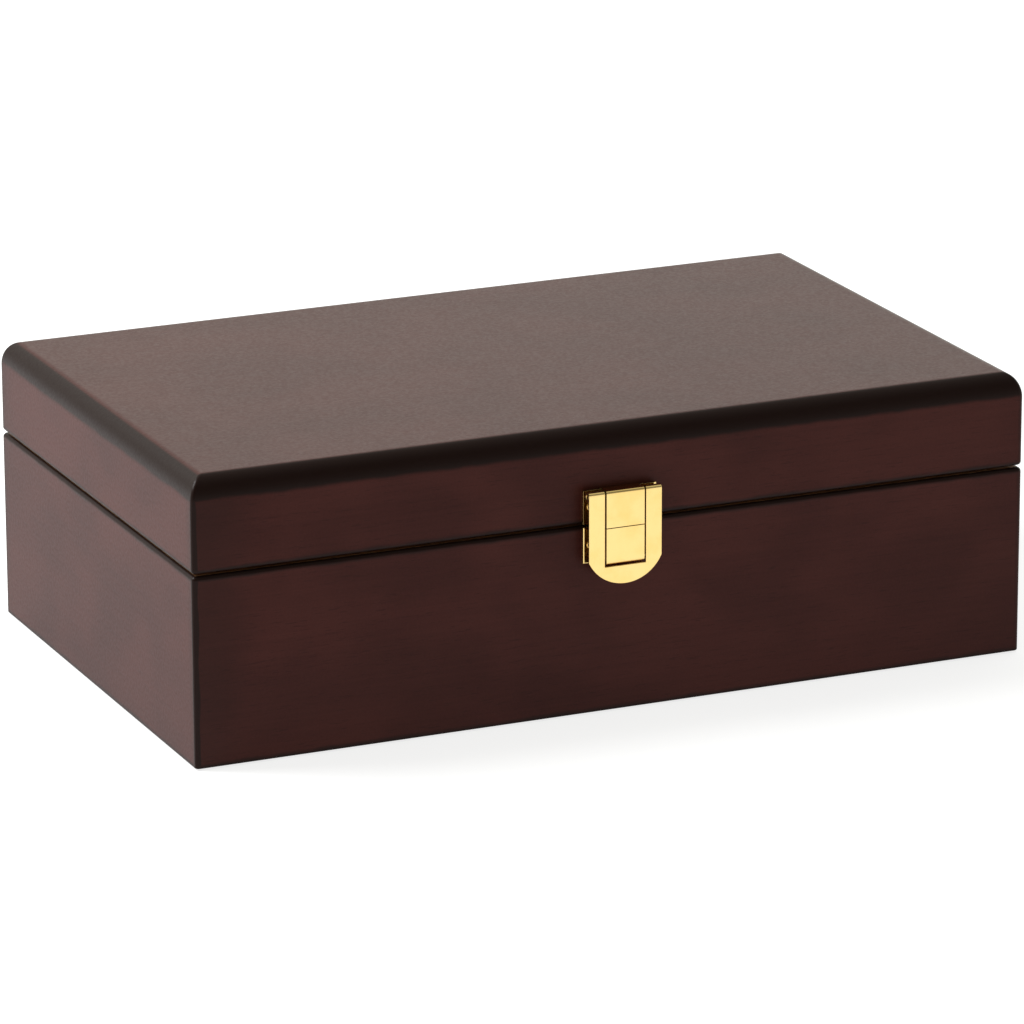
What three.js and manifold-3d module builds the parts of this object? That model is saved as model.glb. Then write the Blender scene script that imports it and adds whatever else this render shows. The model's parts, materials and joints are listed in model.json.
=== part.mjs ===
// A watch box: a lacquered wooden case with a hinged lid, a flip latch on the front and a lined tray
// that holds ten watch pillows. Units are millimetres. +Z is up, the front faces -Y, and the origin is
// the centre of the underside, on the surface that the box stands on.
import * as THREE from "three";
import { mergeVertices } from "three/addons/utils/BufferGeometryUtils.js";
import Module from "manifold-3d";

const wasm = await Module();
wasm.setup();

// ---------------------------------------------------------------- driving dimensions

// The case
const WIDTH = 320;
const DEPTH = 194.5;
const HEIGHT = 105;
const WALL = 10;
const GLUE = 0.1; // glue line between two wooden pieces
const RIM = 69.9; // top edge of the lower case
const LID_GAP = 0.8; // gap between the closed lid and the rim
const EDGE = 1.5; // rounding on the outer edges at the gap
const FOOT_EDGE = 0.6; // rounding on the lower case's bottom edges
const TOP_THICK = 10;
const TOP_ROUND_IN = 6.5; // the lid's round-over, measured inwards
const TOP_ROUND_DOWN = 9; // the lid's round-over, measured downwards
const ROUND_STEPS = 9;

// Underside
const FELT = 0.5;
const FELT_INSET = 3;
const FLOOR_THICK = 4;
const REBATE = 5; // how far the bottom panel reaches into the walls

// Lining, tray and pillows
const LINING = 2.5;
const LINING_GAP = 0.2;
const LIP = 3.2; // how far the lining stands above the rim, into the lid
const LID_LINING = 2;
const FOAM = 8;
const FLOOR_PAD = 2.5;
const LID_PAD = 5;
// The section of the lid pad's edge, from its lower face upwards.
const LID_PAD_EDGE = [
  { inset: 6, up: 0 },
  { inset: 1.5, up: 1.2 },
  { inset: 0, up: 3 },
  { inset: 0, up: LID_PAD },
];
const LINING_PARTING = 1.2; // between the lining of the case and that of the closed lid
const COLUMNS = 5;
const DIVIDER = 3;
const DIVIDER_TOP = 58;
const LAP = 0.2; // clearance on each side of a half-lap joint
const PILLOW = { x: 50, y: 70, z: 48 };
const PILLOW_EDGE = 9;
const PILLOW_LEVELS = 4;

// Flip latch. Distances called "out" are measured from the front face of the case.
const SHEET = 0.9; // thickness of the latch's sheet metal
const LATCH_WIDTH = 28;
const LATCH_OUT = 6; // front face of the closed flap
const LATCH_TOP = 83.3;
const PLATE_TOP = 82.9;
const PLATE_BOTTOM = 56.3;
const BOSS_WIDTH = 14.6;
const BOSS_SPLIT = 69.7;
const SPLIT_GAP = 0.3;
const BOSS_FOLD = 1.2; // outer radius of the lower boss's fold
const CHEEK = 0.8; // side walls of the bosses
const SLOT_WIDTH = 15.8;
const SLOT_BOTTOM = 55.7;
const FLAP_BOTTOM = 48.9;
const FLAP_ARC = 15.5; // radius of the flap's round lower end
const CATCH = { inset: 1, deep: 1.4 }; // the lip behind the slot's lower edge, which catches the lower boss
const KNUCKLE = 1.8; // outer radius of the flap's rolled ends
const LATCH_PIN = 0.8;
const PIN_CLEARANCE = 0.15;
const LATCH_SCREW = { x: 10.9, up: 77, down: 63, head: 1.7, headThick: 0.8, shank: 0.8, length: 7 };

// Stop hinges
const HINGE_X = 100;
const HINGE_WIDTH = 32;
const HINGE_OUT = 2.6; // the axis stands this far behind the back face
const HINGE_RADIUS = 2.2;
const HINGE_PIN = 1;
const LEAF = 0.9;
const LEAF_REACH = 8.4; // how far a leaf reaches into the wall
const MORTISE_GAP = 0.3;
const MIDDLE_KNUCKLE = 9.8;
const KNUCKLE_GAP = 0.4;
const OPEN_ANGLE = 95;
const STOP_PLAY = 0.4; // degrees left between the two heels when the lid is fully open
const HEEL_LENGTH = 6.4;
const HEEL_START = 2.6; // radius at which a heel clears the other leaf's knuckles
const HINGE_SCREW = { x: 9.5, in: 4.8, head: 1.9, shank: 1, length: 8 };

const SCREW_HOLE = 0.3; // radial room around a screw
const SCREW_TIP = 0.35; // radius of a screw's blunt tip, as a share of its shank
const ROUND = 20; // facets around small pins and knuckles

// ---------------------------------------------------------------- worked-out positions

const halfWidth = WIDTH / 2;
const halfDepth = DEPTH / 2;
const lidBottom = RIM + LID_GAP;
const topBottom = HEIGHT - TOP_THICK;
const innerX = halfWidth - WALL;
const innerY = halfDepth - WALL;
const liningX = innerX - LINING_GAP - LINING;
const liningY = innerY - LINING_GAP - LINING;
const foamBottom = FELT + FLOOR_THICK + GLUE;
const padBottom = foamBottom + FOAM;
const trayFloor = padBottom + FLOOR_PAD;
const hingeY = halfDepth + HINGE_OUT;
const hingeZ = RIM + LID_GAP / 2;
const pinOut = LATCH_OUT - KNUCKLE;
const pinZ = LATCH_TOP - KNUCKLE;

// ---------------------------------------------------------------- materials

function material(color, roughness, metalness = 0) {
  return new THREE.MeshStandardMaterial({ color, roughness, metalness });
}

const mahogany = material(0x3f2320, 0.38);
const baseFelt = material(0x2a1a18, 0.95);
const foam = material(0xd8d2c4, 0.95);
const velour = material(0xcdb894, 0.9);
const suede = material(0xe2d3b5, 0.85);
const gold = material(0xe9c56b, 0.14, 1);
const brass = material(0xc9a14e, 0.3, 1);

// ---------------------------------------------------------------- solids

// The geometry as a manifold-3d solid.
function solid(geometry) {
  const bare = geometry.clone();
  bare.deleteAttribute("normal");
  bare.deleteAttribute("uv");
  const merged = mergeVertices(bare, 1e-4);
  return new wasm.Manifold(
    new wasm.Mesh({
      numProp: 3,
      vertProperties: merged.attributes.position.array,
      triVerts: new Uint32Array(merged.index.array),
    }),
  );
}

// A manifold-3d solid as a three.js geometry.
function geometryOf(manifold) {
  const mesh = manifold.getMesh();
  const geometry = new THREE.BufferGeometry();
  geometry.setAttribute("position", new THREE.BufferAttribute(mesh.vertProperties, 3));
  geometry.setIndex(new THREE.BufferAttribute(mesh.triVerts, 1));
  geometry.computeVertexNormals();
  return geometry;
}

function join(...geometries) {
  return geometryOf(geometries.map(solid).reduce((sum, next) => sum.add(next)));
}

function cut(geometry, ...tools) {
  return geometryOf(tools.map(solid).reduce((rest, tool) => rest.subtract(tool), solid(geometry)));
}

// A box between two corners.
function block(x0, x1, y0, y1, z0, z1) {
  const geometry = new THREE.BoxGeometry(x1 - x0, y1 - y0, z1 - z0);
  return geometry.translate((x0 + x1) / 2, (y0 + y1) / 2, (z0 + z1) / 2);
}

// A cylinder along X.
function rodX(radius, x0, x1, y, z) {
  const geometry = new THREE.CylinderGeometry(radius, radius, x1 - x0, ROUND);
  return geometry.rotateZ(Math.PI / 2).translate((x0 + x1) / 2, y, z);
}

// The corners of a rectangle with round corners, anticlockwise.
function loop({ x, y, z, round = 0 }, steps) {
  const points = [];
  for (let quarter = 0; quarter < 4; quarter++) {
    const sideX = quarter === 0 || quarter === 3 ? 1 : -1;
    const sideY = quarter < 2 ? 1 : -1;
    for (let i = 0; i <= steps; i++) {
      const angle = ((quarter + (steps ? i / steps : 0.5)) * Math.PI) / 2;
      const cx = sideX * (x - round) + round * Math.cos(angle);
      const cy = sideY * (y - round) + round * Math.sin(angle);
      points.push([cx, cy, z]);
    }
  }
  return points;
}

// A closed solid through a stack of rectangles, each { x, y, z, round } with half sizes x and y.
function loft(levels, steps = 0) {
  const count = 4 * (steps + 1);
  const index = [];
  for (let level = 0; level < levels.length - 1; level++) {
    for (let i = 0; i < count; i++) {
      const a = level * count + i;
      const b = level * count + ((i + 1) % count);
      index.push(a, b, b + count, a, b + count, a + count);
    }
  }
  const last = (levels.length - 1) * count;
  for (let i = 1; i < count - 1; i++) {
    index.push(0, i + 1, i);
    index.push(last, last + i, last + i + 1);
  }
  const geometry = new THREE.BufferGeometry();
  const points = levels.flatMap((level) => loop(level, steps)).flat();
  geometry.setAttribute("position", new THREE.Float32BufferAttribute(points, 3));
  geometry.setIndex(index);
  geometry.computeVertexNormals();
  return geometry;
}

// A rail with ends mitred at 45 degrees. Its outline is drawn as (depth in from the outer face, height),
// and it runs along X with the outer face at Y = 0.
function mitredRail(outline, halfLength) {
  const geometry = new THREE.ExtrudeGeometry(outline, { depth: 1, bevelEnabled: false, curveSegments: 4 });
  const position = geometry.attributes.position;
  for (let i = 0; i < position.count; i++) {
    const depth = position.getX(i);
    const height = position.getY(i);
    const end = position.getZ(i) < 0.5 ? -1 : 1;
    position.setXYZ(i, end * (halfLength - depth - GLUE / 2), depth, height);
  }
  return geometry;
}

// An outline drawn as (out from the front face, height), extruded along X between two places.
function strip(outline, x0, x1) {
  const geometry = new THREE.ExtrudeGeometry(outline, {
    depth: x1 - x0,
    bevelEnabled: false,
    curveSegments: 5,
  });
  // Shape X becomes -Y, shape Y becomes Z, and the extrusion runs along -X.
  const turn = new THREE.Matrix4().set(0, 0, -1, x1, -1, 0, 0, 0, 0, 1, 0, 0, 0, 0, 0, 1);
  return geometry.applyMatrix4(turn);
}

// A polygon drawn as (across, height), extruded by its thickness around the plane Y = 0.
function board(points, thickness) {
  const outline = new THREE.Shape(points.map(([x, y]) => new THREE.Vector2(x, y)));
  const geometry = new THREE.ExtrudeGeometry(outline, { depth: thickness, bevelEnabled: false });
  return geometry.rotateX(Math.PI / 2).translate(0, thickness / 2, 0);
}

// The names of the same piece on the four sides.
function sideNames(before, after) {
  return Object.fromEntries(["front", "back", "left", "right"].map((side) => [side, before + side + after]));
}

function named(name, geometry, finish, x = 0, y = 0, z = 0) {
  const mesh = new THREE.Mesh(geometry, finish);
  mesh.name = name;
  mesh.position.set(x, y, z);
  return mesh;
}

// ---------------------------------------------------------------- wooden case

// Section of a lower wall: rounded outer edges, and a rebate for the bottom panel.
function wallOutline() {
  const rebateTop = FELT + FLOOR_THICK + GLUE;
  const outline = new THREE.Shape();
  outline.moveTo(FOOT_EDGE, FELT);
  outline.lineTo(WALL - REBATE, FELT);
  outline.lineTo(WALL - REBATE, rebateTop);
  outline.lineTo(WALL, rebateTop);
  outline.lineTo(WALL, RIM);
  outline.lineTo(EDGE, RIM);
  outline.absarc(EDGE, RIM - EDGE, EDGE, Math.PI / 2, Math.PI, false);
  outline.lineTo(0, FELT + FOOT_EDGE);
  outline.absarc(FOOT_EDGE, FELT + FOOT_EDGE, FOOT_EDGE, Math.PI, (3 * Math.PI) / 2, false);
  return outline;
}

function lidRailOutline() {
  const outline = new THREE.Shape();
  outline.moveTo(EDGE, lidBottom);
  outline.lineTo(WALL, lidBottom);
  outline.lineTo(WALL, topBottom - GLUE);
  outline.lineTo(0, topBottom - GLUE);
  outline.lineTo(0, lidBottom + EDGE);
  outline.absarc(EDGE, lidBottom + EDGE, EDGE, Math.PI, (3 * Math.PI) / 2, false);
  return outline;
}

// Four mitred rails around the case, with cuts for the hardware in the front and back ones.
function frameOf(names, outline, frontCuts, backCuts) {
  const long = mitredRail(outline, halfWidth);
  const short = mitredRail(outline, halfDepth);
  const front = cut(long.clone().translate(0, -halfDepth, 0), ...frontCuts);
  const back = cut(long.clone().rotateZ(Math.PI).translate(0, halfDepth, 0), ...backCuts);
  const left = named(names.left, short, mahogany, -halfWidth);
  left.rotation.z = -Math.PI / 2;
  const right = named(names.right, short, mahogany, halfWidth);
  right.rotation.z = Math.PI / 2;
  return [named(names.front, front, mahogany), named(names.back, back, mahogany), left, right];
}

function lidTop() {
  const levels = [{ x: halfWidth, y: halfDepth, z: topBottom }];
  for (let i = 0; i <= ROUND_STEPS; i++) {
    const angle = ((i / ROUND_STEPS) * Math.PI) / 2;
    const inset = TOP_ROUND_IN * (1 - Math.cos(angle));
    const z = HEIGHT - TOP_ROUND_DOWN * (1 - Math.sin(angle));
    levels.push({ x: halfWidth - inset, y: halfDepth - inset, z });
  }
  return loft(levels);
}

function bottomPanel() {
  const x = halfWidth - WALL + REBATE - GLUE;
  const y = halfDepth - WALL + REBATE - GLUE;
  return block(-x, x, -y, y, FELT, FELT + FLOOR_THICK);
}

function feltSheet() {
  const x = halfWidth - FELT_INSET;
  const y = halfDepth - FELT_INSET;
  return block(-x, x, -y, y, 0, FELT - GLUE / 2);
}

// ---------------------------------------------------------------- lining and tray

// Four lining boards on the inner walls, between two heights. The long ones run corner to corner.
function liningBoards(names, thickness, z0, z1) {
  const outerX = innerX - LINING_GAP;
  const outerY = innerY - LINING_GAP;
  const faceY = outerY - thickness;
  const faceX = outerX - thickness;
  const endY = faceY - LINING_GAP;
  return [
    named(names.front, block(-outerX, outerX, -outerY, -faceY, z0, z1), velour),
    named(names.back, block(-outerX, outerX, faceY, outerY, z0, z1), velour),
    named(names.left, block(-outerX, -faceX, -endY, endY, z0, z1), velour),
    named(names.right, block(faceX, outerX, -endY, endY, z0, z1), velour),
  ];
}

const cellPitch = (2 * liningX + DIVIDER) / COLUMNS;
const dividerX = Array.from({ length: COLUMNS - 1 }, (_, i) => (i + 1) * cellPitch - liningX - DIVIDER / 2);
const lapMiddle = (trayFloor + DIVIDER_TOP) / 2;
const notch = DIVIDER / 2 + LAP;

// The long divider, with a notch from the top at each cross divider.
function longDivider() {
  const end = liningX - LINING_GAP;
  const points = [[-end, trayFloor + GLUE]];
  points.push([end, trayFloor + GLUE], [end, DIVIDER_TOP]);
  for (const x of [...dividerX].reverse()) {
    points.push([x + notch, DIVIDER_TOP], [x + notch, lapMiddle - LAP]);
    points.push([x - notch, lapMiddle - LAP], [x - notch, DIVIDER_TOP]);
  }
  points.push([-end, DIVIDER_TOP]);
  return board(points, DIVIDER);
}

// A cross divider, with one notch from below where it drops over the long divider.
function crossDivider() {
  const end = liningY - LINING_GAP;
  const foot = trayFloor + GLUE;
  const points = [
    [-end, foot],
    [-notch, foot],
    [-notch, lapMiddle + LAP],
    [notch, lapMiddle + LAP],
    [notch, foot],
    [end, foot],
    [end, DIVIDER_TOP],
    [-end, DIVIDER_TOP],
  ];
  return board(points, DIVIDER).rotateZ(Math.PI / 2);
}

// A soft pillow: a block with round upright corners whose upper and lower edges are rounded.
function pillow() {
  const upper = [];
  for (let i = 0; i <= PILLOW_LEVELS; i++) {
    const angle = ((i / PILLOW_LEVELS) * Math.PI) / 2;
    const inset = PILLOW_EDGE * (1 - Math.cos(angle));
    const z = PILLOW.z - PILLOW_EDGE * (1 - Math.sin(angle));
    upper.push({ x: PILLOW.x / 2 - inset, y: PILLOW.y / 2 - inset, z, round: PILLOW_EDGE - inset / 2 });
  }
  const lower = upper.map((level) => ({ ...level, z: PILLOW.z - level.z })).reverse();
  return loft([...lower, ...upper], 3);
}

function pillows() {
  const rows = { front: -1, back: 1 };
  const rowY = (liningY + DIVIDER / 2) / 2;
  const shape = pillow();
  return Object.entries(rows).flatMap(([row, side]) =>
    Array.from({ length: COLUMNS }, (_, i) => {
      const x = (i + 0.5) * cellPitch - liningX - DIVIDER / 2;
      return named(`pillow_${row}_${i + 1}`, shape, suede, x, side * rowY, trayFloor + GLUE);
    }),
  );
}

// ---------------------------------------------------------------- flip latch

// A folded tongue of sheet: up the plate, forward over the fold and back along the front of the boss.
// The fold is at foldZ and the free edge at endZ. The tongue opens downwards where endZ is the lower one.
function tongueOutline(foldZ, endZ, corner) {
  const down = Math.sign(foldZ - endZ);
  const inner = Math.max(corner - SHEET, 0.1);
  const outline = new THREE.Shape();
  outline.moveTo(GLUE, foldZ - down * 2 * SHEET);
  outline.lineTo(GLUE, foldZ);
  outline.lineTo(LATCH_OUT - corner, foldZ);
  outline.absarc(LATCH_OUT - corner, foldZ - down * corner, corner, (down * Math.PI) / 2, 0, down > 0);
  outline.lineTo(LATCH_OUT, endZ);
  outline.lineTo(LATCH_OUT - SHEET, endZ);
  outline.lineTo(LATCH_OUT - SHEET, foldZ - down * corner);
  outline.absarc(LATCH_OUT - SHEET - inner, foldZ - down * corner, inner, 0, (down * Math.PI) / 2, down < 0);
  outline.lineTo(GLUE + SHEET, foldZ - down * SHEET);
  outline.lineTo(GLUE + SHEET, foldZ - down * 2 * SHEET);
  return outline;
}

// A block in latch terms: between two places across, two distances out, and two heights.
function latchBlock(x0, x1, out0, out1, z0, z1) {
  return block(x0, x1, -halfDepth - out1, -halfDepth - out0, z0, z1);
}

// The two holes of a latch plate, which stop inside the wall.
function latchHoles(z) {
  const radius = LATCH_SCREW.shank + SCREW_HOLE;
  const long = 2 * LATCH_SCREW.length;
  return [-1, 1].map((side) => {
    const hole = new THREE.CylinderGeometry(radius, radius, long, ROUND);
    return hole.translate(side * LATCH_SCREW.x, -halfDepth, z);
  });
}

// One half of the fixed latch: a plate, a folded boss and the boss's two cheeks.
function latchPlate(plate0, plate1, foldZ, endZ, corner, screwZ) {
  const sheetOut = GLUE + SHEET;
  const cheekEnd = LATCH_OUT - SHEET / 2;
  const [low, high] = [Math.min(foldZ, endZ), Math.max(foldZ, endZ)];
  const cheekLow = foldZ < endZ ? low + corner : low + SPLIT_GAP;
  const cheekHigh = foldZ < endZ ? high - SPLIT_GAP : high - SHEET;
  const half = BOSS_WIDTH / 2;
  const tongue = strip(tongueOutline(foldZ, endZ, corner), -half, half).translate(0, -halfDepth, 0);
  const cheeks = [-1, 1].map((side) => {
    const inner = side * (half - CHEEK);
    const edges = [inner, side * half].sort((a, b) => a - b);
    return latchBlock(...edges, GLUE, cheekEnd, cheekLow, cheekHigh);
  });
  const sheet = latchBlock(-LATCH_WIDTH / 2, LATCH_WIDTH / 2, GLUE, sheetOut, plate0, plate1);
  const body = join(sheet, tongue, ...cheeks);
  return cut(body, ...latchHoles(screwZ));
}

function latchLidPlate() {
  const end = BOSS_SPLIT + SPLIT_GAP / 2;
  const body = latchPlate(lidBottom, PLATE_TOP, LATCH_TOP, end, KNUCKLE, LATCH_SCREW.up);
  const bore = rodX(LATCH_PIN + PIN_CLEARANCE, -LATCH_WIDTH, LATCH_WIDTH, -halfDepth - pinOut, pinZ);
  return cut(body, bore);
}

function latchBoxPlate() {
  const top = BOSS_SPLIT - SPLIT_GAP / 2;
  return latchPlate(PLATE_BOTTOM, top, PLATE_BOTTOM, top, BOSS_FOLD, LATCH_SCREW.down);
}

// The flap: two arms that end in rolled knuckles, a slot around the bosses and a round lower end.
function latchFlap() {
  const half = LATCH_WIDTH / 2;
  const slot = SLOT_WIDTH / 2;
  const arcCentre = FLAP_BOTTOM + FLAP_ARC;
  const arcEdge = Math.asin(half / FLAP_ARC);
  const outline = new THREE.Shape();
  outline.moveTo(-half, pinZ);
  outline.lineTo(-half, arcCentre - FLAP_ARC * Math.cos(arcEdge));
  outline.absarc(0, arcCentre, FLAP_ARC, -Math.PI / 2 - arcEdge, -Math.PI / 2 + arcEdge, false);
  outline.lineTo(half, pinZ);
  outline.lineTo(slot, pinZ);
  outline.lineTo(slot, SLOT_BOTTOM);
  outline.lineTo(-slot, SLOT_BOTTOM);
  outline.lineTo(-slot, pinZ);
  const sheet = new THREE.ExtrudeGeometry(outline, { depth: SHEET, bevelEnabled: false, curveSegments: 24 })
    .rotateX(Math.PI / 2)
    .translate(0, -halfDepth - LATCH_OUT + SHEET, 0);
  const knuckles = [-1, 1].map((side) => {
    const edges = [side * slot, side * half].sort((a, b) => a - b);
    return rodX(KNUCKLE, ...edges, -halfDepth - pinOut, pinZ);
  });
  const lipEnd = slot - CATCH.inset;
  const lipBack = LATCH_OUT - SHEET - CATCH.deep;
  const lipFront = LATCH_OUT - SHEET / 2;
  const catchLip = latchBlock(-lipEnd, lipEnd, lipBack, lipFront, SLOT_BOTTOM - SHEET, SLOT_BOTTOM);
  const bore = rodX(LATCH_PIN + PIN_CLEARANCE, -LATCH_WIDTH, LATCH_WIDTH, -halfDepth - pinOut, pinZ);
  return cut(join(sheet, ...knuckles, catchLip), bore);
}

function latchPin() {
  const half = LATCH_WIDTH / 2 - GLUE;
  return rodX(LATCH_PIN, -half, half, -halfDepth - pinOut, pinZ);
}

// A small round-head screw along Y. The underside of its head is at Y = 0 and its tip points to +Y.
function latchScrew() {
  const { head, headThick, shank, length } = LATCH_SCREW;
  const profile = [
    [0, -length],
    [shank * SCREW_TIP, -length],
    [shank, -length + 2 * shank],
    [shank, 0],
    [head, 0],
    [head, 0.4 * headThick],
    [0.6 * head, headThick],
    [0, headThick],
  ].map(([r, y]) => new THREE.Vector2(r, y));
  return new THREE.LatheGeometry(profile, ROUND).rotateX(Math.PI);
}

function latchScrews(prefix, z) {
  const shape = latchScrew();
  const y = -halfDepth - GLUE - SHEET - GLUE / 2;
  return Object.entries({ left: -1, right: 1 }).map(([side, sign]) =>
    named(`${prefix}_${side}`, shape, brass, sign * LATCH_SCREW.x, y, z),
  );
}

// ---------------------------------------------------------------- hinges

// The mortises and screw holes that a frame's back rail needs, for a leaf on the given side of the gap.
function hingeCuts(side) {
  const face = side > 0 ? lidBottom : RIM;
  const deep = face + side * (LEAF + MORTISE_GAP);
  const past = face - side;
  const holeEnd = face + side * (HINGE_SCREW.length + 2);
  const [z0, z1] = [Math.min(deep, past), Math.max(deep, past)];
  const [h0, h1] = [Math.min(past, holeEnd), Math.max(past, holeEnd)];
  const halfLeaf = HINGE_WIDTH / 2 + MORTISE_GAP;
  return [-HINGE_X, HINGE_X].flatMap((x) => {
    const mortise = block(
      x - halfLeaf,
      x + halfLeaf,
      halfDepth - LEAF_REACH - MORTISE_GAP,
      halfDepth + 2,
      z0,
      z1,
    );
    const holes = [-1, 1].map((sign) => {
      const radius = HINGE_SCREW.shank + SCREW_HOLE;
      const hole = new THREE.CylinderGeometry(radius, radius, h1 - h0, ROUND).rotateX(Math.PI / 2);
      return hole.translate(x + sign * HINGE_SCREW.x, halfDepth - HINGE_SCREW.in, (h0 + h1) / 2);
    });
    return [mortise, ...holes];
  });
}

// A countersunk screw along Z, grown by room all round. The top of its head is at Z = 0.
function screwGeometry(room) {
  const { head, shank, length } = HINGE_SCREW;
  const profile = [
    [0, -length - room],
    [shank * SCREW_TIP + room, -length - room],
    [shank + room, -length + 2 * shank],
    [shank + room, shank - head],
    [head + room, 0],
  ];
  if (room) profile.push([head + room, room]);
  profile.push([0, room]);
  const points = profile.map(([r, z]) => new THREE.Vector2(r, z));
  return new THREE.LatheGeometry(points, ROUND).rotateX(Math.PI / 2);
}

// A hinge leaf around the hinge's own axis, as for the lid: plate, knuckles and the heel that stops it.
// The box's leaf is this one turned upside down, with the outer knuckles in place of the middle one.
function hingeLeaf(isLid) {
  const half = HINGE_WIDTH / 2;
  const middle = MIDDLE_KNUCKLE / 2;
  const spans = isLid
    ? [[-middle, middle]]
    : [
        [-half, -middle - KNUCKLE_GAP],
        [middle + KNUCKLE_GAP, half],
      ];
  const low = LID_GAP / 2 + GLUE;
  const plateEnd = GLUE - HINGE_OUT;
  const plate = block(-half, half, -HINGE_OUT - LEAF_REACH, plateEnd, low, low + LEAF);
  const arms = spans.map(([x0, x1]) => block(x0, x1, plateEnd - LEAF, 0, low, low + LEAF));
  const knuckles = spans.map(([x0, x1]) => rodX(HINGE_RADIUS, x0, x1, 0, 0));
  // The heels' facing sides stand half the open angle, and half the play, above the level.
  const tilt = THREE.MathUtils.degToRad((OPEN_ANGLE + STOP_PLAY) / 2);
  const heel = block(-half, half, HEEL_START, HEEL_LENGTH, 0, LEAF).rotateX(tilt);
  const roots = spans.map(([x0, x1]) =>
    block(x0, x1, HINGE_RADIUS - LEAF / 2, HEEL_START + LEAF / 2, 0, LEAF).rotateX(tilt),
  );
  const bore = rodX(HINGE_PIN + PIN_CLEARANCE, -HINGE_WIDTH, HINGE_WIDTH, 0, 0);
  const screws = [-1, 1].map((sign) => {
    const room = screwGeometry(SCREW_HOLE).rotateX(Math.PI);
    return room.translate(sign * HINGE_SCREW.x, -HINGE_OUT - HINGE_SCREW.in, low);
  });
  return cut(join(plate, ...arms, ...knuckles, heel, ...roots), bore, ...screws);
}

const hingeSides = { left: -HINGE_X, right: HINGE_X };

function hingeLeaves(isLid) {
  const shape = hingeLeaf(isLid);
  return Object.entries(hingeSides).map(([side, x]) => {
    const mesh = named(`hinge_${side}_${isLid ? "lid" : "box"}_leaf`, shape, brass, x, hingeY, hingeZ);
    mesh.scale.z = isLid ? 1 : -1;
    return mesh;
  });
}

function hingePins() {
  const half = HINGE_WIDTH / 2;
  const shape = rodX(HINGE_PIN, -half, half, 0, 0);
  return Object.entries(hingeSides).map(([side, x]) =>
    named(`hinge_${side}_pin`, shape, brass, x, hingeY, hingeZ),
  );
}

// Two countersunk screws through each leaf, their heads flush with its face in the gap.
function hingeScrews(isLid) {
  const shape = screwGeometry(0);
  const face = isLid ? lidBottom + GLUE : RIM - GLUE;
  return Object.entries(hingeSides).flatMap(([side, x]) =>
    [-1, 1].map((sign, i) => {
      const name = `hinge_${side}_${isLid ? "lid" : "box"}_screw_${i + 1}`;
      const mesh = named(name, shape, brass, x + sign * HINGE_SCREW.x, halfDepth - HINGE_SCREW.in, face);
      mesh.rotation.x = isLid ? Math.PI : 0;
      return mesh;
    }),
  );
}

// ---------------------------------------------------------------- assembly

function caseGroup() {
  const group = new THREE.Group();
  group.add(...frameOf(sideNames("", "_panel"), wallOutline(), latchHoles(LATCH_SCREW.down), hingeCuts(-1)));
  group.add(named("bottom_panel", bottomPanel(), mahogany));
  group.add(named("base_felt", feltSheet(), baseFelt));

  const insideX = liningX - LINING_GAP;
  const insideY = liningY - LINING_GAP;
  const layer = (z0, z1) => block(-insideX, insideX, -insideY, insideY, z0, z1);
  group.add(named("foam_underlay", layer(foamBottom, padBottom - GLUE), foam));
  group.add(named("floor_pad", layer(padBottom, trayFloor), velour));
  group.add(...liningBoards(sideNames("lining_", ""), LINING, foamBottom, RIM + LIP));
  group.add(named("long_divider", longDivider(), velour));
  dividerX.forEach((x, i) => group.add(named(`cross_divider_${i + 1}`, crossDivider(), velour, x)));
  group.add(...pillows());

  group.add(named("latch_box_plate", latchBoxPlate(), gold));
  group.add(...latchScrews("latch_box_screw", LATCH_SCREW.down));
  group.add(...hingeLeaves(false), ...hingePins(), ...hingeScrews(false));
  return group;
}

function lidGroup() {
  const group = new THREE.Group();
  const names = sideNames("lid_", "_rail");
  group.add(...frameOf(names, lidRailOutline(), latchHoles(LATCH_SCREW.up), hingeCuts(1)));
  group.add(named("lid_top", lidTop(), mahogany));

  const liningBottom = RIM + LIP + LINING_PARTING;
  const liningTop = topBottom - GLUE;
  group.add(...liningBoards(sideNames("lid_lining_", ""), LID_LINING, liningBottom, liningTop));
  const padX = innerX - 2 * LINING_GAP - LID_LINING;
  const padY = innerY - 2 * LINING_GAP - LID_LINING;
  const padLevels = LID_PAD_EDGE.map(({ inset, up }) => {
    return { x: padX - inset, y: padY - inset, z: liningTop - LID_PAD + up };
  });
  group.add(named("lid_pad", loft(padLevels), suede));

  group.add(named("latch_lid_plate", latchLidPlate(), gold));
  group.add(named("latch_pin", latchPin(), gold));
  group.add(...latchScrews("latch_lid_screw", LATCH_SCREW.up));
  group.add(...hingeLeaves(true), ...hingeScrews(true));
  return group;
}

function flapGroup() {
  const group = new THREE.Group();
  group.add(named("latch_flap", latchFlap(), gold));
  return group;
}

const watchBox = new THREE.Group();
watchBox.add(caseGroup(), lidGroup(), flapGroup());

export default watchBox;
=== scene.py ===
"""A closed watch box: mahogany case and lid, gold flip latch, two hinges and ten soft pillows."""

import json
import math

import bmesh
import bpy
from mathutils import Matrix, Vector, noise
from mathutils.bvhtree import BVHTree

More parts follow.
